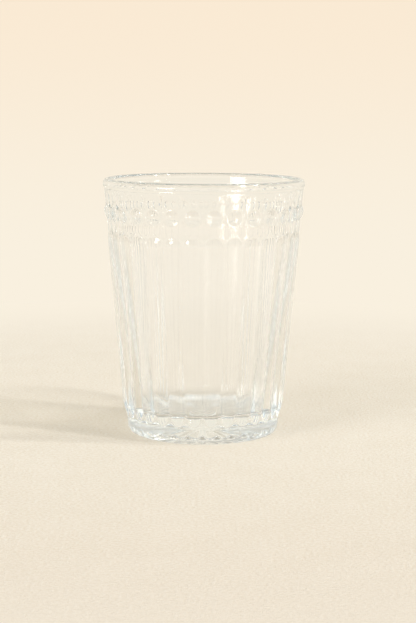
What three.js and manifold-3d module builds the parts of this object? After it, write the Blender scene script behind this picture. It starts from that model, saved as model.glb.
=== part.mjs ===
import * as THREE from 'three';
import { mergeVertices } from 'three/addons/utils/BufferGeometryUtils.js';
import Module from 'manifold-3d';

// Driving sizes in millimetres. The axis of the glass is Z and it stands on Z = 0.
const HEIGHT = 101;
const RIM_RADIUS = 40.1;
const FOOT_RADIUS = 31;
const LIP_THICKNESS = 2.6;
const LIP_CROWN = 2.4;
const LIP_DEPTH = 4;
const LIP_STEP = 1.4;
const BASE_THICKNESS = 10.2;
const FLOOR_WALL = 4.95;
const FLOOR_CORNER = 2.6;
const SEAT_CLEARANCE = 0.3;
const REED_COUNT = 30;
const WALL_DROP_LOW = 1.15;
const WALL_DROP_HIGH = 0.75;
const REED_RISE = 7.2;
const REED_FOOT_LENGTH = 6;
const BAND_DEPTH = 20.6;
const PANEL_RELIEF = 0.35;
const PANEL_LEDGE = 0.8;
const PANEL_SLOPE = 1.2;
const BEAD_DROP = 13;
const BEAD_RADIUS = 2.85;
const BEAD_HEIGHT = 1.3;
const BEAD_ROOT = 0.9;
const HEEL_INSET = 3.2;
const BEARING_WIDTH = 1.2;
const HEEL_HEIGHT = 3.4;
const RECESS_DEPTH = 3.4;
const PETAL_RELIEF = 1;
const PETAL_START = 4;
const PETAL_END_GAP = 0.5;

// How finely the curves are stepped.
const PLAIN_STEPS = 90;
const PETAL_STEPS = 4;
const LIP_STEPS = 6;
const HEEL_STEPS = 3;
const CORNER_STEPS = 3;
const BEAD_STEPS = 10;
const BEAD_RINGS = 3;
const END_STEPS = [0.5, 0.85, 1];
const REED_SPREAD = 0.34;
const ARCH_SPREAD = 0.44;
const TIP_SPREAD = 0.1;

// Levels that follow from the sizes above.
const LIP_SEAT = HEIGHT - LIP_DEPTH;
const REED_TOP = HEIGHT - BAND_DEPTH;
const BEAD_LEVEL = HEIGHT - BEAD_DROP;
const LIP_ROUND = LIP_THICKNESS / 2;
const LIP_CENTRE = HEIGHT - LIP_CROWN;
const CORNER_TOP = BASE_THICKNESS + FLOOR_CORNER;
const BEARING_RADIUS = FOOT_RADIUS - HEEL_INSET;

const envelope = (z) => FOOT_RADIUS + (RIM_RADIUS - FOOT_RADIUS) * z / HEIGHT;
const wallDrop = (z) => WALL_DROP_LOW + (WALL_DROP_HIGH - WALL_DROP_LOW) * z / HEIGHT;
const body = (z) => envelope(z) - wallDrop(z);
const pitch = (z) => 2 * Math.PI * envelope(z) / REED_COUNT;

const REED_FULL_LOW = REED_RISE + REED_FOOT_LENGTH;
const REED_FULL_HIGH = REED_TOP - pitch(REED_TOP) / 2;
const FOOT_SEAT = Math.max(REED_FULL_LOW, CORNER_TOP) + SEAT_CLEARANCE;
const ARCH_SPRING = LIP_SEAT - pitch(LIP_SEAT) / 2;

const FLOOR_RADIUS = envelope(CORNER_TOP) - FLOOR_WALL;
const MOUTH_RADIUS = envelope(LIP_CENTRE) - LIP_THICKNESS;

const inner = (z) => {
  const share = (z - CORNER_TOP) / (LIP_CENTRE - CORNER_TOP);
  return FLOOR_RADIUS + (MOUTH_RADIUS - FLOOR_RADIUS) * share;
};

// Fall of a round-backed rib from its crest at a distance from the middle of the crest line.
function roundFall(distance, halfWidth, relief) {
  if (distance >= halfWidth) {
    return relief;
  }
  const radius = (halfWidth ** 2 + relief ** 2) / (2 * relief);
  return radius - Math.sqrt(radius ** 2 - distance ** 2);
}

const polar = (radius, angle, z) => new THREE.Vector3(radius * Math.cos(angle), radius * Math.sin(angle), z);

// A plain circle as a ring of corners, starting at the valley before the first reed.
function circle(radius, z, steps = PLAIN_STEPS) {
  const ring = [];
  for (let i = 0; i < steps; i += 1) {
    ring.push(polar(radius, 2 * Math.PI * (i / steps - 0.5 / REED_COUNT), z));
  }
  return ring;
}

// A ring whose corners repeat once per reed; each offset is a share of the reed pitch from the reed's crest.
function repeated(z, offsets, radiusAt, levelAt = () => z) {
  const ring = [];
  for (let i = 0; i < REED_COUNT; i += 1) {
    for (const offset of offsets) {
      ring.push(polar(radiusAt(offset), 2 * Math.PI * (i + offset) / REED_COUNT, levelAt(offset)));
    }
  }
  return ring;
}

const spread = (share) => [-0.5, -share, -share / 2, 0, share / 2, share];

// Share of the pitch that a rounded rib end still covers at a way past the start of its rounding.
function endSpread(way, z) {
  const half = pitch(z) / 2;
  const chord = Math.sqrt(Math.max(half ** 2 - way ** 2, 0)) / pitch(z);
  return Math.min(Math.max(chord, TIP_SPREAD), ARCH_SPREAD);
}

// One level of the reeded wall; every reed has a round dome on top and a longer round end at its foot.
function reedRing(z) {
  const half = pitch(z) / 2;
  const below = (REED_FULL_LOW - z) * half / REED_FOOT_LENGTH;
  const way = Math.max(z - REED_FULL_HIGH, below, 0);
  const offsets = spread(way > 0 ? endSpread(way, z) : REED_SPREAD);
  return repeated(z, offsets, (offset) => {
    const distance = Math.hypot(offset * pitch(z), way);
    return envelope(z) - roundFall(distance, half, wallDrop(z));
  });
}

// One level of the panelled band; every panel is a shallow hollow with an arched top and a sloped foot.
function panelRing(z) {
  const way = Math.max(z - ARCH_SPRING, 0);
  const offsets = spread(way > 0 ? endSpread(way, z) : REED_SPREAD);
  const half = pitch(z) / 2;
  const rise = (z - REED_TOP - PANEL_LEDGE) / PANEL_SLOPE;
  const share = Math.min(Math.max(rise, 0), 1);
  return repeated(z, offsets, (offset) => {
    const distance = Math.hypot(offset * pitch(z), way);
    return body(z) + share * roundFall(distance, half, PANEL_RELIEF);
  });
}

// Joins rings in order into one skin; rings may differ in their number of corners.
function skin(rings, closed) {
  const positions = [];
  const starts = [];
  for (const ring of rings) {
    starts.push(positions.length / 3);
    for (const corner of ring) {
      positions.push(corner.x, corner.y, corner.z);
    }
  }
  const faces = [];
  const pairs = closed ? rings.length : rings.length - 1;
  for (let k = 0; k < pairs; k += 1) {
    const next = (k + 1) % rings.length;
    const lower = (i) => starts[k] + i % rings[k].length;
    const upper = (i) => starts[next] + i % rings[next].length;
    const lowerSteps = rings[k].length > 1 ? rings[k].length : 0;
    const upperSteps = rings[next].length > 1 ? rings[next].length : 0;
    let i = 0;
    let j = 0;
    while (i < lowerSteps || j < upperSteps) {
      const lowerFirst = (i + 1) * upperSteps <= (j + 1) * lowerSteps;
      if (i < lowerSteps && (j >= upperSteps || lowerFirst)) {
        faces.push(lower(i), lower(i + 1), upper(j));
        i += 1;
      } else {
        faces.push(lower(i), upper(j + 1), upper(j));
        j += 1;
      }
    }
  }
  const geometry = new THREE.BufferGeometry();
  geometry.setAttribute('position', new THREE.Float32BufferAttribute(positions, 3));
  geometry.setIndex(faces);
  return geometry;
}

// Circles along part of an ellipse in the profile, from one angle to another about its centre.
function roundRings(centre, halfAxes, from, to, steps) {
  const rings = [];
  for (let i = 0; i <= steps; i += 1) {
    const angle = from + (to - from) * i / steps;
    rings.push(circle(centre[0] + halfAxes[0] * Math.cos(angle), centre[1] + halfAxes[1] * Math.sin(angle)));
  }
  return rings;
}

// Foot: bearing ring, petalled recess, heel, smooth sides, lower ends of the reeds, and the floor inside.
function makeFoot() {
  const petals = [];
  for (let i = 0; i < PETAL_STEPS; i += 1) {
    petals.push(i / PETAL_STEPS - 0.5);
  }
  const bearingInner = BEARING_RADIUS - BEARING_WIDTH;
  const petalEnd = bearingInner - PETAL_END_GAP;
  const petalRing = (share) => {
    const radius = PETAL_START + (petalEnd - PETAL_START) * share;
    const half = Math.PI * radius / REED_COUNT;
    const relief = PETAL_RELIEF * share;
    const levelAt = (offset) => RECESS_DEPTH - relief + roundFall(2 * half * Math.abs(offset), half, relief);
    return repeated(RECESS_DEPTH, petals, () => radius, levelAt);
  };
  const rings = [[new THREE.Vector3(0, 0, RECESS_DEPTH)]];
  rings.push(repeated(RECESS_DEPTH, petals, () => PETAL_START));
  rings.push(petalRing(0.5), petalRing(1));
  rings.push(circle(bearingInner, 0));
  rings.push(circle(BEARING_RADIUS, 0));
  const heelTop = body(HEEL_HEIGHT);
  for (let i = 1; i <= HEEL_STEPS; i += 1) {
    const angle = Math.PI / 2 * i / HEEL_STEPS;
    const radius = BEARING_RADIUS + (heelTop - BEARING_RADIUS) * Math.sin(angle);
    rings.push(circle(radius, HEEL_HEIGHT * (1 - Math.cos(angle))));
  }
  for (const share of [...END_STEPS].reverse()) {
    rings.push(reedRing(REED_FULL_LOW - REED_FOOT_LENGTH * share));
  }
  rings.push(reedRing(REED_FULL_LOW));
  rings.push(reedRing(FOOT_SEAT));
  rings.push(circle(inner(FOOT_SEAT), FOOT_SEAT));
  const cornerCentre = [FLOOR_RADIUS - FLOOR_CORNER, CORNER_TOP];
  rings.push(...roundRings(cornerCentre, [FLOOR_CORNER, FLOOR_CORNER], 0, -Math.PI / 2, CORNER_STEPS));
  rings.push([new THREE.Vector3(0, 0, BASE_THICKNESS)]);
  return skin(rings, false);
}

// Reeded wall: thirty convex reeds with domed tops outside, a plain cone inside.
function makeWall() {
  const rings = [reedRing(FOOT_SEAT), reedRing(REED_FULL_HIGH)];
  const highEnd = REED_TOP - REED_FULL_HIGH;
  for (const share of END_STEPS) {
    rings.push(reedRing(REED_FULL_HIGH + highEnd * share));
  }
  rings.push(circle(inner(REED_TOP), REED_TOP));
  rings.push(circle(inner(FOOT_SEAT), FOOT_SEAT));
  return skin(rings, true);
}

// Panelled band without its beads.
function makePanels() {
  const rings = [panelRing(REED_TOP), panelRing(REED_TOP + PANEL_LEDGE)];
  rings.push(panelRing(REED_TOP + PANEL_LEDGE + PANEL_SLOPE), panelRing(ARCH_SPRING));
  for (const share of END_STEPS) {
    rings.push(panelRing(ARCH_SPRING + (LIP_SEAT - ARCH_SPRING) * share));
  }
  rings.push(circle(inner(LIP_SEAT), LIP_SEAT));
  rings.push(circle(inner(REED_TOP), REED_TOP));
  return skin(rings, true);
}

// One bead: a spherical cap on a short root that is sunk into its panel.
function makeBead() {
  const radius = (BEAD_RADIUS ** 2 + BEAD_HEIGHT ** 2) / (2 * BEAD_HEIGHT);
  const widest = Math.asin(BEAD_RADIUS / radius);
  const profile = [new THREE.Vector2(0, -BEAD_ROOT), new THREE.Vector2(BEAD_RADIUS, -BEAD_ROOT)];
  for (let i = 0; i <= BEAD_RINGS; i += 1) {
    const angle = widest * (1 - i / BEAD_RINGS);
    const reach = i < BEAD_RINGS ? radius * Math.sin(angle) : 0;
    profile.push(new THREE.Vector2(reach, radius * Math.cos(angle) - (radius - BEAD_HEIGHT)));
  }
  return new THREE.LatheGeometry(profile, BEAD_STEPS);
}

// Rim: step out of the band, lip with a half-ellipse crown, plain inner face.
function makeRim() {
  const stepTop = LIP_SEAT + LIP_STEP;
  const rings = [circle(body(LIP_SEAT) + PANEL_RELIEF, LIP_SEAT), circle(envelope(stepTop), stepTop)];
  const lipCentre = [MOUTH_RADIUS + LIP_ROUND, LIP_CENTRE];
  rings.push(...roundRings(lipCentre, [LIP_ROUND, LIP_CROWN], 0, Math.PI, LIP_STEPS));
  rings.push(circle(inner(LIP_SEAT), LIP_SEAT));
  return skin(rings, true);
}

const wasm = await Module();
wasm.setup();

function toSolid(geometry) {
  geometry.deleteAttribute('normal');
  geometry.deleteAttribute('uv');
  const welded = mergeVertices(geometry, 1e-5);
  const mesh = new wasm.Mesh({
    numProp: 3,
    vertProperties: new Float32Array(welded.attributes.position.array),
    triVerts: new Uint32Array(welded.index.array),
  });
  return new wasm.Manifold(mesh);
}

function toGeometry(solid) {
  const mesh = solid.getMesh();
  const geometry = new THREE.BufferGeometry();
  geometry.setAttribute('position', new THREE.Float32BufferAttribute(mesh.vertProperties, mesh.numProp));
  geometry.setIndex(new THREE.Uint32BufferAttribute(mesh.triVerts, 1));
  return geometry;
}

// The band with one bead in the middle of every panel, leaning with the draft of the wall.
function makeBand() {
  const lean = Math.atan2(RIM_RADIUS - FOOT_RADIUS, HEIGHT);
  const seat = body(BEAD_LEVEL);
  const beads = [];
  for (let i = 0; i < REED_COUNT; i += 1) {
    const angle = 2 * Math.PI * i / REED_COUNT;
    const outward = polar(Math.cos(lean), angle, -Math.sin(lean));
    const turn = new THREE.Quaternion().setFromUnitVectors(new THREE.Vector3(0, 1, 0), outward);
    const place = new THREE.Matrix4().makeRotationFromQuaternion(turn);
    place.setPosition(polar(seat, angle, BEAD_LEVEL));
    beads.push(toSolid(makeBead().applyMatrix4(place)));
  }
  return toGeometry(wasm.Manifold.union([toSolid(makePanels()), ...beads]));
}

function glass() {
  return new THREE.MeshStandardMaterial({
    color: 0xeef2ef,
    roughness: 0.05,
    metalness: 0,
    transparent: true,
    opacity: 0.35,
  });
}

const tumbler = new THREE.Group();
tumbler.name = 'tumbler';

function addPiece(name, geometry) {
  const piece = new THREE.Mesh(geometry, glass());
  piece.name = name;
  tumbler.add(piece);
}

addPiece('foot', makeFoot());
addPiece('reeded_wall', makeWall());
addPiece('bead_band', makeBand());
addPiece('rim', makeRim());

export default tumbler;
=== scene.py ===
"""A clear pressed-glass tumbler with a beaded band and round-ended reeds, on a pale plaster floor."""
import math

import bpy
import numpy as np
from mathutils import Matrix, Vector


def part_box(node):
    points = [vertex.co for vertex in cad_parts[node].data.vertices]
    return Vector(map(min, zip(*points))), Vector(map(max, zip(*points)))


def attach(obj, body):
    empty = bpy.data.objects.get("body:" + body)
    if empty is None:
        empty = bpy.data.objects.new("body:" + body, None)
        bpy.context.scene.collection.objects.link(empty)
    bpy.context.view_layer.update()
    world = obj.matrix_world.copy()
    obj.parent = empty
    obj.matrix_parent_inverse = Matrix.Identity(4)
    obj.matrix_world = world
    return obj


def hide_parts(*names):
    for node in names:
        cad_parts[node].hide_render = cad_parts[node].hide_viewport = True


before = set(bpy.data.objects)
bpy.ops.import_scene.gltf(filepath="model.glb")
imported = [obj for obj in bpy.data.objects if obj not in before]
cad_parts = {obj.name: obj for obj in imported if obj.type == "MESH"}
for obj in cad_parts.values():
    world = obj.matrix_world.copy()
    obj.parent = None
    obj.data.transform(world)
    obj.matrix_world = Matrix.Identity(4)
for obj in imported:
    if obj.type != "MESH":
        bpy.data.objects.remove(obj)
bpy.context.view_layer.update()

# Levels of the glass in metres, read from the frame.
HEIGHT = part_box("rim")[1][2]
LIP_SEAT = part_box("rim")[0][2]
REED_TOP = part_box("bead_band")[0][2]

# Sizes of the glass in metres.
RIM_RADIUS = 0.0401
FOOT_RADIUS = 0.0310
LIP_THICKNESS = 0.0026
LIP_CROWN = 0.0024
LIP_STEP = 0.0014
BASE_THICKNESS = 0.0102
FLOOR_WALL = 0.00495
FLOOR_CORNER = 0.0026
REED_COUNT = 30
WALL_DROP_LOW = 0.00115
WALL_DROP_HIGH = 0.00075
REED_RISE = 0.0072
REED_FOOT_LENGTH = 0.0060
PANEL_RELIEF = 0.00035
PANEL_LEDGE = 0.0008
PANEL_SLOPE = 0.0012
BEAD_DROP = 0.0130
BEAD_RADIUS = 0.00285
BEAD_HEIGHT = 0.0013
BEAD_FILLET = 0.0006
VALLEY_FILLET = 0.00012
RIDGE_FILLET = 0.00004
HEEL_INSET = 0.0032
HEEL_HEIGHT = 0.0034
BEARING_WIDTH = 0.0012
RECESS_DEPTH = 0.0034
PETAL_RELIEF = 0.0010
PETAL_START = 0.004
PETAL_END_GAP = 0.0005
HUB_RADIUS = PETAL_START / 3
LEAST_RELIEF = 1e-6
REED_LEAD = 0.002
SUPPORT = 0.0003

# Numbers of steps in the mesh: round one reed, then along each stretch of the section.
SAMPLES_PER_REED = 18
HUB_STEPS = 2
PETAL_STEPS = 14
PETAL_END_STEPS = 8
HEEL_STEPS = 8
FOOT_SIDE_STEPS = 3
REED_FOOT_STEPS = 16
REED_STEPS = 4
DOME_STEPS = 24
BAND_LOW_STEPS = 5
BEAD_STEPS = 30
ARCH_STEPS = 16
LIP_STEP_STEPS = 8
LIP_SIDE_STEPS = 3
LIP_STEPS = 14
CUP_STEPS = 4
CORNER_STEPS = 9
FLOOR_STEPS = 2

# Levels and radii that follow from those sizes.
SLOPE = (RIM_RADIUS - FOOT_RADIUS) / HEIGHT
LIP_ROUND = LIP_THICKNESS / 2
LIP_CENTRE = HEIGHT - LIP_CROWN
BEAD_LEVEL = HEIGHT - BEAD_DROP
CORNER_TOP = BASE_THICKNESS + FLOOR_CORNER
BEARING_RADIUS = FOOT_RADIUS - HEEL_INSET


def envelope(z):
    """Radius of the cone that the reed crests and the lip touch: it grows in a straight line with height."""
    return FOOT_RADIUS + SLOPE * z


def body(z):
    """Radius of the plain cone that the reeds, panels and beads stand on: under the envelope by a drop that
    changes in a straight line from the table to the rim."""
    return envelope(z) - wall_drop(z)


def wall_drop(z):
    """How far the plain cone lies under the envelope at a height."""
    return WALL_DROP_LOW + (WALL_DROP_HIGH - WALL_DROP_LOW) * z / HEIGHT


def pitch(z):
    """Distance from one reed crest to the next, round the envelope at a height."""
    return 2 * np.pi * envelope(z) / REED_COUNT


REED_FULL_LOW = REED_RISE + REED_FOOT_LENGTH
REED_FULL_HIGH = REED_TOP - pitch(REED_TOP) / 2
ARCH_SPRING = LIP_SEAT - pitch(LIP_SEAT) / 2
FLOOR_RADIUS = envelope(CORNER_TOP) - FLOOR_WALL
MOUTH_RADIUS = envelope(LIP_CENTRE) - LIP_THICKNESS


def inner(z):
    """Radius of the smooth cone inside the cup."""
    return FLOOR_RADIUS + (MOUTH_RADIUS - FLOOR_RADIUS) * (z - CORNER_TOP) / (LIP_CENTRE - CORNER_TOP)


def smoothstep(t):
    """Zero below 0, one above 1, and the cubic 3t^2 - 2t^3 between."""
    t = np.clip(t, 0, 1)
    return t * t * (3 - 2 * t)


def round_back(distance, half, relief):
    """Height of a rib with a circular back: relief at its crest line, zero at half its width, and falling on
    past that along the tangent, so that it can be blended with the ground."""
    radius = (half ** 2 + relief ** 2) / (2 * relief)
    inside = np.minimum(distance, half)
    arc = relief - radius + np.sqrt(radius ** 2 - inside ** 2)
    steepness = half / np.sqrt(radius ** 2 - half ** 2)
    return arc - steepness * np.maximum(distance - half, 0)


def soft_rise(height, fillet):
    """Smooth version of max(height, 0): half the sum of height and the root of its square and the fillet's
    square."""
    return (height + np.sqrt(height ** 2 + fillet ** 2)) / 2


def blend_max(a, b, width):
    """The larger of two heights, with a parabola of the given width where they cross, as a fillet."""
    near = np.maximum(width - np.abs(a - b), 0) / width
    return np.maximum(a, b) + near ** 2 * width / 4


def reed_height(z, u):
    """Height of one reed over the body: a circular back along its crest, a dome of half the pitch at its
    upper end and a longer one at its foot. u is the share of the pitch from the crest."""
    down = (REED_FULL_LOW - z) * pitch(z) / 2 / REED_FOOT_LENGTH
    way = np.maximum(np.maximum(z - REED_FULL_HIGH, down), 0)
    return round_back(np.hypot(u * pitch(z), way), pitch(z) / 2, wall_drop(z))


def panel_hollow(z, u):
    """Depth of one panel under the ridges between the panels: a circular hollow with an arched top of half
    the pitch."""
    way = np.maximum(z - ARCH_SPRING, 0)
    return round_back(np.hypot(u * pitch(z), way), pitch(z) / 2, PANEL_RELIEF)


def band_share(z, u):
    """How far the band has risen at a place: zero on the dome of the reed below and on a ledge round it, then
    a smooth slope up to one."""
    dome = np.hypot(u * pitch(z), np.maximum(z - REED_FULL_HIGH, 0)) - (REED_TOP - REED_FULL_HIGH)
    return smoothstep((dome - PANEL_LEDGE) / PANEL_SLOPE)


def bead_height(z, u):
    """Height of a bead over the body: a spherical cap that stands in the middle of its panel, measured along
    the wall."""
    radius = (BEAD_RADIUS ** 2 + BEAD_HEIGHT ** 2) / (2 * BEAD_HEIGHT)
    reach = np.hypot(u * pitch(z), (z - BEAD_LEVEL) * np.hypot(1, SLOPE))
    cap = np.sqrt(np.maximum(radius ** 2 - reach ** 2, 0)) - (radius - BEAD_HEIGHT)
    return np.where(reach < radius, cap, -radius)


def relief(z, u):
    """Height of the whole pattern over the body. The ribs and hollows on both sides are added in, which
    rounds the valleys and ridges, and the bead is blended on top with a fillet."""
    reeds = 0
    band = PANEL_RELIEF
    share = 1
    for neighbour in (-1, 0, 1):
        reeds = reeds + soft_rise(reed_height(z, u - neighbour), VALLEY_FILLET)
        band = band - soft_rise(panel_hollow(z, u - neighbour), RIDGE_FILLET)
        share = share * band_share(z, u - neighbour)
    return blend_max(reeds + band * share, bead_height(z, u), BEAD_FILLET)


def march(start, *stretches):
    """Steps from start through stretches of (end, number of steps), without repeating an end."""
    values = [np.array([start])]
    for end, count in stretches:
        values.append(np.linspace(values[-1][-1], end, count + 1)[1:])
    return np.concatenate(values)


def underside(u):
    """Recess under the foot: a flat middle, then petals whose round backs grow with the radius, so that they
    leave a pocket between each two where they end, then a smooth step down to the bearing ring."""
    rim_in = BEARING_RADIUS - BEARING_WIDTH
    end = rim_in - PETAL_END_GAP
    r = march(HUB_RADIUS, (PETAL_START, HUB_STEPS), (end, PETAL_STEPS), (rim_in, PETAL_END_STEPS))[:, None]
    half = np.pi * r / REED_COUNT
    grow = np.clip((r - PETAL_START) / (end - PETAL_START), 0, 1)
    petal = round_back(2 * half * np.abs(u), half, np.maximum(PETAL_RELIEF * grow, LEAST_RELIEF))
    level = (RECESS_DEPTH - petal) * (1 - smoothstep((r - end) / PETAL_END_GAP))
    return np.broadcast_to(r, level.shape), level


def heel(u):
    """Bearing ring and heel: flat out to the bearing radius, then a quarter ellipse up to the body."""
    turn = march(0, (np.pi / 2, HEEL_STEPS))[:, None]
    r = BEARING_RADIUS + (body(HEEL_HEIGHT) - BEARING_RADIUS) * np.sin(turn)
    z = HEEL_HEIGHT * (1 - np.cos(turn))
    return r + 0 * u, z + 0 * u


def outer_wall(u):
    """Outside of the wall: the body cone with the relief of reeds, panels and beads, and the step out to the
    lip."""
    bead_low = BEAD_LEVEL - BEAD_RADIUS - BEAD_FILLET
    bead_high = BEAD_LEVEL + BEAD_RADIUS + BEAD_FILLET
    dome_end = REED_TOP + PANEL_LEDGE + PANEL_SLOPE
    z = march(HEEL_HEIGHT, (REED_RISE - REED_LEAD, FOOT_SIDE_STEPS), (REED_FULL_LOW, REED_FOOT_STEPS),
              (REED_FULL_HIGH, REED_STEPS), (dome_end, DOME_STEPS), (bead_low, BAND_LOW_STEPS),
              (bead_high, BEAD_STEPS), (LIP_SEAT, ARCH_STEPS), (LIP_SEAT + LIP_STEP, LIP_STEP_STEPS),
              (LIP_CENTRE, LIP_SIDE_STEPS))[1:, None]
    step = smoothstep((z - LIP_SEAT) / LIP_STEP)
    pattern = relief(z, u) * (1 - step)
    return body(z) + pattern + wall_drop(z) * step, z + 0 * u


def lip(u):
    """Lip from the outer face to the inner face: half an ellipse, as high as its crown."""
    turn = march(0, (np.pi, LIP_STEPS))[1:, None]
    r = MOUTH_RADIUS + LIP_ROUND + LIP_ROUND * np.cos(turn)
    return r + 0 * u, LIP_CENTRE + LIP_CROWN * np.sin(turn) + 0 * u


def cup(u):
    """Inside of the cup: a smooth cone down to the corner, a quarter-round corner, and the flat floor."""
    z = march(LIP_CENTRE, (LIP_CENTRE - SUPPORT, 1), (CORNER_TOP + SUPPORT, CUP_STEPS), (CORNER_TOP, 1))
    z = z[1:, None]
    turn = march(0, (-np.pi / 2, CORNER_STEPS))[1:, None]
    centre = FLOOR_RADIUS - FLOOR_CORNER
    flat = march(centre, (centre - SUPPORT, 1), (centre / 4, FLOOR_STEPS))[1:, None]
    r = np.concatenate([inner(z), centre + FLOOR_CORNER * np.cos(turn), flat])
    z = np.concatenate([z, CORNER_TOP + FLOOR_CORNER * np.sin(turn), np.full_like(flat, BASE_THICKNESS)])
    return r + 0 * u, z + 0 * u


def tumbler_mesh():
    """The whole skin of the glass as one closed surface: rings along the section, each ring repeating one
    reed's samples round the axis, closed by a fan under the foot and a fan on the floor inside."""
    u = (np.arange(SAMPLES_PER_REED) / SAMPLES_PER_REED - 0.5)[None, :]
    parts = [part(u) for part in (underside, heel, outer_wall, lip, cup)]
    radius = np.tile(np.concatenate([r for r, _ in parts]), (1, REED_COUNT))
    level = np.tile(np.concatenate([z for _, z in parts]), (1, REED_COUNT))
    angle = 2 * np.pi * (np.arange(REED_COUNT)[:, None] + u).ravel() / REED_COUNT
    points = np.stack([radius * np.cos(angle), radius * np.sin(angle), level], axis=-1).reshape(-1, 3)
    poles = np.array([[0, 0, RECESS_DEPTH], [0, 0, BASE_THICKNESS]])
    here = np.arange(radius.size).reshape(radius.shape)
    beside = np.roll(here, -1, axis=1)
    quads = np.stack([here[:-1], beside[:-1], beside[1:], here[1:]], axis=-1).reshape(-1, 4)
    under = np.stack([np.full_like(angle, radius.size, dtype=int), beside[0], here[0]], axis=-1)
    inside = np.stack([here[-1], beside[-1], np.full_like(angle, radius.size + 1, dtype=int)], axis=-1)
    faces = quads.tolist() + under.tolist() + inside.tolist()
    mesh = bpy.data.meshes.new("tumbler_glass")
    mesh.from_pydata(np.concatenate([points, poles]).tolist(), [], faces)
    mesh.polygons.foreach_set("use_smooth", np.ones(len(mesh.polygons), dtype=bool))
    mesh.update()
    return mesh


def add_object(name, mesh, material):
    """Puts a mesh into the scene at the origin with its material."""
    piece = bpy.data.objects.new(name, mesh)
    bpy.context.collection.objects.link(piece)
    mesh.materials.append(material)
    return piece


def add_node(tree, kind, **values):
    """Adds a shader node; each value sets the input of that name, with spaces as underscores."""
    node = tree.nodes.new(kind)
    for name, value in values.items():
        node.inputs[name.replace("_", " ")].default_value = value
    return node


def add_math(tree, operation, *terms):
    """Adds a Math node; each term is a number or a socket, and its output socket is returned."""
    node = tree.nodes.new("ShaderNodeMath")
    node.operation = operation
    for slot, term in zip(node.inputs, terms):
        if isinstance(term, (int, float)):
            slot.default_value = term
        else:
            tree.links.new(term, slot)
    return node.outputs[0]


def add_ramp(tree, factor, low, high):
    """A smooth step from 0 at low to 1 at high."""
    node = tree.nodes.new("ShaderNodeMapRange")
    node.interpolation_type = "SMOOTHSTEP"
    node.inputs["From Min"].default_value = low
    node.inputs["From Max"].default_value = high
    tree.links.new(factor, node.inputs["Value"])
    return node.outputs["Result"]


# The Mix node's sockets for colours.
MIX_ONE = 6
MIX_OTHER = 7
MIX_RESULT = 2


def add_mix(tree, factor, one, other):
    """Mixes two colours; each is four numbers or a socket."""
    node = tree.nodes.new("ShaderNodeMix")
    node.data_type = "RGBA"
    tree.links.new(factor, node.inputs["Factor"])
    for socket, value in ((node.inputs[MIX_ONE], one), (node.inputs[MIX_OTHER], other)):
        if isinstance(value, tuple):
            socket.default_value = value
        else:
            tree.links.new(value, socket)
    return node.outputs[MIX_RESULT]


def srgb(red, green, blue):
    """A linear colour with alpha from the 0 to 255 values that a screen shows."""
    def linear(value):
        c = value / 255
        return c / 12.92 if c <= 0.04045 else ((c + 0.055) / 1.055) ** 2.4
    return (linear(red), linear(green), linear(blue), 1.0)


# Noise of the shared unevenness.
SWELL_DETAIL = 2.0
SWELL_ROUGHNESS = 0.5
GRAIN_DETAIL = 4.0
GRAIN_ROUGHNESS = 0.65
MASK_LOW = 0.3
MASK_HIGH = 0.7


def uneven_group():
    """Shared unevenness: a broad swell and a fine grain of noise, as a height and as a mask from 0 to 1."""
    tree = bpy.data.node_groups.new("uneven_surface", "ShaderNodeTree")
    tree.interface.new_socket("Vector", in_out="INPUT", socket_type="NodeSocketVector")
    tree.interface.new_socket("Swell Scale", in_out="INPUT", socket_type="NodeSocketFloat")
    tree.interface.new_socket("Grain Scale", in_out="INPUT", socket_type="NodeSocketFloat")
    tree.interface.new_socket("Grain Share", in_out="INPUT", socket_type="NodeSocketFloat")
    tree.interface.new_socket("Height", in_out="OUTPUT", socket_type="NodeSocketFloat")
    tree.interface.new_socket("Mask", in_out="OUTPUT", socket_type="NodeSocketFloat")
    enter = tree.nodes.new("NodeGroupInput")
    leave = tree.nodes.new("NodeGroupOutput")
    swell = add_node(tree, "ShaderNodeTexNoise", Detail=SWELL_DETAIL, Roughness=SWELL_ROUGHNESS)
    grain = add_node(tree, "ShaderNodeTexNoise", Detail=GRAIN_DETAIL, Roughness=GRAIN_ROUGHNESS)
    for noise, scale in ((swell, "Swell Scale"), (grain, "Grain Scale")):
        tree.links.new(enter.outputs["Vector"], noise.inputs["Vector"])
        tree.links.new(enter.outputs[scale], noise.inputs["Scale"])
    fine = add_math(tree, "MULTIPLY", grain.outputs["Fac"], enter.outputs["Grain Share"])
    rest = add_math(tree, "SUBTRACT", 1.0, enter.outputs["Grain Share"])
    broad = add_math(tree, "MULTIPLY", swell.outputs["Fac"], rest)
    height = add_math(tree, "ADD", fine, broad)
    tree.links.new(height, leave.inputs["Height"])
    tree.links.new(add_ramp(tree, height, MASK_LOW, MASK_HIGH), leave.inputs["Mask"])
    return tree


UNEVEN = uneven_group()


def add_uneven(tree, vector, swell_scale, grain_scale, grain_share):
    """Places the shared unevenness in a material with its own scales, in cycles per metre."""
    node = tree.nodes.new("ShaderNodeGroup")
    node.node_tree = UNEVEN
    tree.links.new(vector, node.inputs["Vector"])
    node.inputs["Swell Scale"].default_value = swell_scale
    node.inputs["Grain Scale"].default_value = grain_scale
    node.inputs["Grain Share"].default_value = grain_share
    return node


def new_material(name):
    """An empty node material; its tree and its output node."""
    material = bpy.data.materials.new(name)
    material.use_nodes = True
    tree = material.node_tree
    tree.nodes.clear()
    return material, tree, tree.nodes.new("ShaderNodeOutputMaterial")


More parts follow.
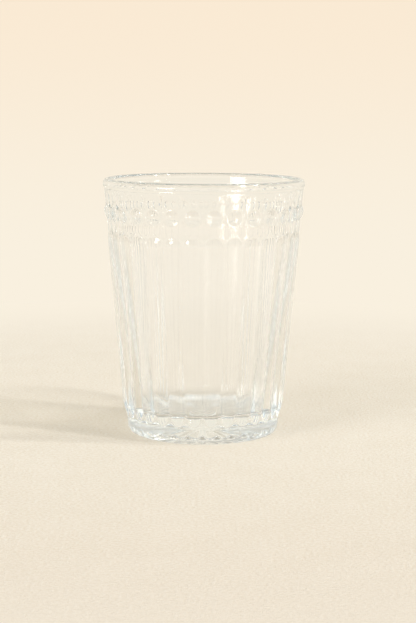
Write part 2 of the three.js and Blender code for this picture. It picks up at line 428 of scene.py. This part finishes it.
# Look of the glass.
GLASS_IOR = 1.5
GLASS_COLOUR = (1.0, 1.0, 1.0, 1.0)
GLASS_ABSORPTION = (0.5, 0.75, 0.9, 1.0)
GLASS_DENSITY = 2.4
RIPPLE_DEPTH = 1.2e-5
RIPPLE_SWELL = 30.0
RIPPLE_GRAIN = 260.0
RIPPLE_SHARE = 0.05
ROUGH_CLEAR = 0.05
ROUGH_WALL = 0.12
ROUGH_SPREAD = 0.3
ROUGH_BLEND = 0.008
SHADOW_FACE = srgb(242, 241, 238)
SHADOW_EDGE = srgb(222, 220, 215)
SHADOW_HEEL = srgb(255, 255, 255)
SHADOW_BLEND = 0.002
SHADOW_EDGE_START = 0.25
SHADOW_EDGE_END = 0.95


def glass_material():
    """Clear pressed glass: a faint ripple in its surface, a slight roughness that is greatest on the reeded
    wall, and a faint blue-green body. The lamps shine through it as through a veil, which is darker where the
    glass is edge on and clear at the heel. The soft light of the room passes freely."""
    material, tree, output = new_material("clear_pressed_glass")
    coords = tree.nodes.new("ShaderNodeTexCoord")
    uneven = add_uneven(tree, coords.outputs["Object"], RIPPLE_SWELL, RIPPLE_GRAIN, RIPPLE_SHARE)
    bump = add_node(tree, "ShaderNodeBump", Strength=1.0, Distance=RIPPLE_DEPTH)
    tree.links.new(uneven.outputs["Height"], bump.inputs["Height"])
    glass = add_node(tree, "ShaderNodeBsdfPrincipled", Base_Color=GLASS_COLOUR, IOR=GLASS_IOR,
                     Transmission_Weight=1.0)
    tree.links.new(bump.outputs["Normal"], glass.inputs["Normal"])
    split = tree.nodes.new("ShaderNodeSeparateXYZ")
    tree.links.new(coords.outputs["Object"], split.inputs[0])
    above = add_ramp(tree, split.outputs["Z"], BASE_THICKNESS, BASE_THICKNESS + ROUGH_BLEND)
    below = add_ramp(tree, split.outputs["Z"], REED_TOP, REED_TOP - ROUGH_BLEND)
    wall = add_math(tree, "MULTIPLY", above, below)
    level = add_math(tree, "MULTIPLY_ADD", wall, ROUGH_WALL - ROUGH_CLEAR, ROUGH_CLEAR)
    spread = add_math(tree, "MULTIPLY_ADD", uneven.outputs["Mask"], ROUGH_SPREAD, 1 - ROUGH_SPREAD / 2)
    tree.links.new(add_math(tree, "MULTIPLY", level, spread), glass.inputs["Roughness"])
    facing = add_node(tree, "ShaderNodeLayerWeight", Blend=0.5)
    edge = add_ramp(tree, facing.outputs["Facing"], SHADOW_EDGE_START, SHADOW_EDGE_END)
    veil = tree.nodes.new("ShaderNodeBsdfTransparent")
    low = add_ramp(tree, split.outputs["Z"], HEEL_HEIGHT + SHADOW_BLEND, HEEL_HEIGHT)
    dim = add_mix(tree, edge, SHADOW_FACE, SHADOW_EDGE)
    tree.links.new(add_mix(tree, low, dim, SHADOW_HEEL), veil.inputs["Color"])
    clear = tree.nodes.new("ShaderNodeBsdfTransparent")
    rays = tree.nodes.new("ShaderNodeLightPath")
    surface = glass
    for light, passed in (("Is Diffuse Ray", clear), ("Is Shadow Ray", veil)):
        choose = tree.nodes.new("ShaderNodeMixShader")
        tree.links.new(rays.outputs[light], choose.inputs[0])
        tree.links.new(surface.outputs[0], choose.inputs[1])
        tree.links.new(passed.outputs[0], choose.inputs[2])
        surface = choose
    tree.links.new(surface.outputs[0], output.inputs["Surface"])
    absorb = add_node(tree, "ShaderNodeVolumeAbsorption", Color=GLASS_ABSORPTION, Density=GLASS_DENSITY)
    tree.links.new(absorb.outputs[0], output.inputs["Volume"])
    return material


# Look of the floor and the background.
FLOOR_COLOUR = srgb(255, 252, 244)
FLOOR_SPECK = srgb(240, 232, 217)
# Painted shade: the floor darkens and browns from the glass towards the front, where the light falls off.
FLOOR_FRONT_PAINTED_SHADE = srgb(232, 219, 205)
FLOOR_FRONT_START = 0.0
FLOOR_FRONT_END = -0.5
BACKGROUND_LOW = srgb(249, 240, 223)
BACKGROUND_HIGH = srgb(250, 234, 212)
BACKGROUND_IN_GLASS = srgb(245, 237, 220)
FLOOR_LIT = srgb(244, 236, 220)
# Painted contact shade: the colour of the floor inside the bearing ring of the glass.
FLOOR_PAINTED_SHADE = srgb(213, 210, 203)
FLOOR_REACH = 0.75
FLOOR_FADE_START = 0.14
FLOOR_FADE_END = 0.39
FLOOR_SWELL = 45.0
FLOOR_GRAIN = 900.0
FLOOR_SHARE = 0.9
FLOOR_BUMP = 0.0007
FLOOR_RINGS = 16
FLOOR_SIDES = 96
PLASTER_ROUGHNESS = 0.9
PLASTER_SHINE = 0.2
# Painted shade: it starts this far inside the bearing ring and is full this far inside.
PAINTED_SHADE_OUTER_GAP = 0.0008
PAINTED_SHADE_INNER_GAP = 0.0045


def seen_rays(tree):
    """One for rays from the camera, from reflections and from glass; zero for the light that falls on
    things."""
    rays = tree.nodes.new("ShaderNodeLightPath")
    total = add_math(tree, "ADD", rays.outputs["Is Camera Ray"], rays.outputs["Is Glossy Ray"])
    total = add_math(tree, "ADD", total, rays.outputs["Is Transmission Ray"])
    return add_math(tree, "MINIMUM", total, 1.0)


def floor_mesh():
    """Flat round floor: rings of growing radius about the glass."""
    ring = march(0.0, (FLOOR_REACH, FLOOR_RINGS))[1:, None]
    angle = np.linspace(0, 2 * np.pi, FLOOR_SIDES, endpoint=False)[None, :]
    points = np.stack([ring * np.cos(angle), ring * np.sin(angle), 0 * ring * angle], axis=-1)
    points = points.reshape(-1, 3)
    here = np.arange(len(points)).reshape(ring.size, angle.size)
    beside = np.roll(here, -1, axis=1)
    quads = np.stack([here[:-1], here[1:], beside[1:], beside[:-1]], axis=-1).reshape(-1, 4)
    middle = np.stack([np.full(angle.size, len(points)), here[0], beside[0]], axis=-1)
    mesh = bpy.data.meshes.new("plaster_floor")
    mesh.from_pydata(points.tolist() + [[0, 0, 0]], [], quads.tolist() + middle.tolist())
    mesh.update()
    return mesh


def floor_material():
    """Pale rough plaster with painted shade: darker and browner towards the front, where the light falls off,
    and darker inside the bearing ring of the glass, where its contact shade lies. It fades with distance into
    the plain background colour."""
    material, tree, output = new_material("pale_plaster")
    coords = tree.nodes.new("ShaderNodeTexCoord")
    uneven = add_uneven(tree, coords.outputs["Object"], FLOOR_SWELL, FLOOR_GRAIN, FLOOR_SHARE)
    bump = add_node(tree, "ShaderNodeBump", Strength=1.0, Distance=FLOOR_BUMP)
    tree.links.new(uneven.outputs["Height"], bump.inputs["Height"])
    plaster = add_node(tree, "ShaderNodeBsdfPrincipled", Roughness=PLASTER_ROUGHNESS,
                       Specular_IOR_Level=PLASTER_SHINE)
    split = tree.nodes.new("ShaderNodeSeparateXYZ")
    tree.links.new(coords.outputs["Object"], split.inputs[0])
    # Painted shade: the floor is darker and browner towards the front.
    front = add_ramp(tree, split.outputs["Y"], FLOOR_FRONT_START, FLOOR_FRONT_END)
    sand = add_mix(tree, uneven.outputs["Mask"], FLOOR_SPECK, FLOOR_COLOUR)
    sand = add_mix(tree, front, sand, FLOOR_FRONT_PAINTED_SHADE)
    tree.links.new(bump.outputs["Normal"], plaster.inputs["Normal"])
    distance = tree.nodes.new("ShaderNodeVectorMath")
    distance.operation = "LENGTH"
    tree.links.new(coords.outputs["Object"], distance.inputs[0])
    # Painted contact shade: the floor is darkened inside the bearing ring of the glass.
    under = add_ramp(tree, distance.outputs["Value"], BEARING_RADIUS - PAINTED_SHADE_OUTER_GAP,
                     BEARING_RADIUS - PAINTED_SHADE_INNER_GAP)
    tree.links.new(add_mix(tree, under, sand, FLOOR_PAINTED_SHADE), plaster.inputs["Base Color"])
    far = add_ramp(tree, distance.outputs["Value"], FLOOR_FADE_START, FLOOR_FADE_END)
    plain = add_node(tree, "ShaderNodeEmission", Strength=1.0)
    tree.links.new(add_mix(tree, far, FLOOR_LIT, BACKGROUND_LOW), plain.inputs["Color"])
    surface = tree.nodes.new("ShaderNodeMixShader")
    tree.links.new(add_math(tree, "MULTIPLY", far, seen_rays(tree)), surface.inputs[0])
    tree.links.new(plaster.outputs[0], surface.inputs[1])
    tree.links.new(plain.outputs[0], surface.inputs[2])
    tree.links.new(surface.outputs[0], output.inputs["Surface"])
    return material


# Light round the glass: a plain room, cream behind the glass, cooler to the sides and behind the camera.
ROOM_LEVEL = 0.36
ROOM_COLOUR = srgb(250, 246, 238)
SIDE_COLOUR = srgb(234, 231, 221)
HIGH_SIDE_COLOUR = srgb(150, 182, 204)
FRONT_COLOUR = srgb(226, 231, 232)
TOP_COLOUR = srgb(197, 204, 205)

# Where the room's colours change, as the start and end of a part of the direction: up for the first three,
# and away from the camera for the last two.
BACKDROP_RISE = (-0.11, 0.06)
HIGH_RISE = (0.3, 0.5)
TOP_RISE = (0.45, 0.85)
SIDE_TURN = (0.85, 0.2)
FRONT_TURN = (-0.1, -0.8)


def make_world():
    """The room: one plain level for the light that falls on things. Seen directly it is the background, which
    warms with height. Seen in the glass it cools to the sides, most of all high up, behind the camera and
    overhead."""
    world = bpy.data.worlds.new("room")
    bpy.context.scene.world = world
    world.use_nodes = True
    tree = world.node_tree
    tree.nodes.clear()
    output = tree.nodes.new("ShaderNodeOutputWorld")
    coords = tree.nodes.new("ShaderNodeTexCoord")
    split = tree.nodes.new("ShaderNodeSeparateXYZ")
    tree.links.new(coords.outputs["Generated"], split.inputs[0])
    height = add_ramp(tree, split.outputs["Z"], *BACKDROP_RISE)
    backdrop = add_mix(tree, height, BACKGROUND_LOW, BACKGROUND_HIGH)
    to_side = add_ramp(tree, split.outputs["Y"], *SIDE_TURN)
    to_front = add_ramp(tree, split.outputs["Y"], *FRONT_TURN)
    to_top = add_ramp(tree, split.outputs["Z"], *TOP_RISE)
    to_high = add_ramp(tree, split.outputs["Z"], *HIGH_RISE)
    side = add_mix(tree, to_high, SIDE_COLOUR, HIGH_SIDE_COLOUR)
    room = add_mix(tree, to_front, add_mix(tree, to_side, BACKGROUND_IN_GLASS, side), FRONT_COLOUR)
    room = add_mix(tree, to_top, room, TOP_COLOUR)
    rays = tree.nodes.new("ShaderNodeLightPath")
    seen = add_mix(tree, rays.outputs["Is Camera Ray"], room, backdrop)
    light = add_node(tree, "ShaderNodeBackground", Color=ROOM_COLOUR, Strength=ROOM_LEVEL)
    shown = add_node(tree, "ShaderNodeBackground", Strength=1.0)
    tree.links.new(seen, shown.inputs["Color"])
    choose = tree.nodes.new("ShaderNodeMixShader")
    tree.links.new(seen_rays(tree), choose.inputs[0])
    tree.links.new(light.outputs[0], choose.inputs[1])
    tree.links.new(shown.outputs[0], choose.inputs[2])
    tree.links.new(choose.outputs[0], output.inputs["Surface"])


def around(azimuth, elevation, distance):
    """A place seen from the middle of the glass, with its azimuth in degrees to the right of the camera's
    side."""
    turn = math.radians(azimuth)
    lift = math.radians(elevation)
    flat = distance * math.cos(lift)
    return flat * math.sin(turn), -flat * math.cos(turn), HEIGHT / 2 + distance * math.sin(lift)


# Lamps: azimuth and elevation in degrees, distance, width and height in metres, and radiance.
LAMP_COLOUR = (1.0, 0.95, 0.87)
RIGHT_LIGHT = (57, 48, 8.0, 0.38, 0.38, 490.0)
FAR_RIGHT_LIGHT = (77.5, 46, 8.0, 0.45, 0.45, 305.0)
LEFT_WINDOW = (-43.5, 13, 8.0, 2.8, 1.75, 7.5)
LEFT_WINDOW_PANE = (-43.5, 11, 7.9, 1.0, 0.8, 45.0)
LEFT_SKY = (-43.5, 31, 8.0, 2.8, 3.4, 9.2)


def add_lamp(name, azimuth, elevation, distance, width, height, radiance):
    """An area lamp aimed at the middle of the glass. Radiance is how bright its face is, where 1 is white."""
    lamp = bpy.data.lights.new(name, "AREA")
    lamp.shape = "RECTANGLE"
    lamp.size = width
    lamp.size_y = height
    lamp.energy = radiance * math.pi * width * height
    lamp.color = LAMP_COLOUR
    holder = bpy.data.objects.new(name, lamp)
    bpy.context.collection.objects.link(holder)
    holder.location = around(azimuth, elevation, distance)
    holder.rotation_euler = (math.radians(90 - elevation), 0, math.radians(azimuth))
    holder.visible_camera = False
    return holder


def make_lamps():
    """Two sun-like lights on the right and a window to the left of the camera. The window and its bright pane
    show only in the glass; the sky over them lights the floor, and shows in no gloss."""
    add_lamp("right_light", *RIGHT_LIGHT)
    add_lamp("far_right_light", *FAR_RIGHT_LIGHT)
    window = add_lamp("left_window", *LEFT_WINDOW)
    window.visible_diffuse = False
    pane = add_lamp("left_window_pane", *LEFT_WINDOW_PANE)
    pane.visible_diffuse = False
    sky = add_lamp("left_sky", *LEFT_SKY)
    sky.visible_glossy = False
    sky.visible_transmission = False


# Camera, as fitted to the photograph's rim, foot and sides.
FRAME_HEIGHT = 623
FOCAL_PIXELS = 1595.0
SENSOR = 36.0
CAMERA_SIDE = 0.00187
CAMERA_BACK = 0.630
CAMERA_UP = 0.137
CAMERA_PITCH = 8.05
CAMERA_ROLL = 0.3
CLIP_NEAR = 0.01
CLIP_FAR = 20.0


def make_camera():
    """The photograph's camera: level with a point above the rim, looking a little down, with a slight
    roll."""
    camera = bpy.data.cameras.new("camera")
    camera.sensor_fit = "VERTICAL"
    camera.sensor_height = SENSOR
    camera.lens = FOCAL_PIXELS * SENSOR / FRAME_HEIGHT
    camera.clip_start = CLIP_NEAR
    camera.clip_end = CLIP_FAR
    holder = bpy.data.objects.new("camera", camera)
    bpy.context.collection.objects.link(holder)
    holder.location = (CAMERA_SIDE, -CAMERA_BACK, CAMERA_UP)
    tilt = Matrix.Rotation(math.radians(90 - CAMERA_PITCH), 3, "X")
    roll = Matrix.Rotation(math.radians(CAMERA_ROLL), 3, "Z")
    holder.rotation_euler = (tilt @ roll).to_euler("XYZ")
    bpy.context.scene.camera = holder


# How often light may bounce inside the glass.
LIGHT_BOUNCES = 128


def make_scene():
    """Builds the glass, its stage, its light and its camera."""
    scene = bpy.context.scene
    scene.view_settings.view_transform = "Standard"
    scene.cycles.caustics_reflective = False
    scene.cycles.caustics_refractive = False
    scene.cycles.max_bounces = LIGHT_BOUNCES
    scene.cycles.glossy_bounces = LIGHT_BOUNCES
    scene.cycles.transmission_bounces = LIGHT_BOUNCES
    scene.cycles.transparent_max_bounces = LIGHT_BOUNCES
    glass = add_object("tumbler_glass", tumbler_mesh(), glass_material())
    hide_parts("foot", "reeded_wall", "bead_band", "rim")
    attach(glass, "root")
    floor = add_object("plaster_floor", floor_mesh(), floor_material())
    make_world()
    make_lamps()
    make_camera()


make_scene()
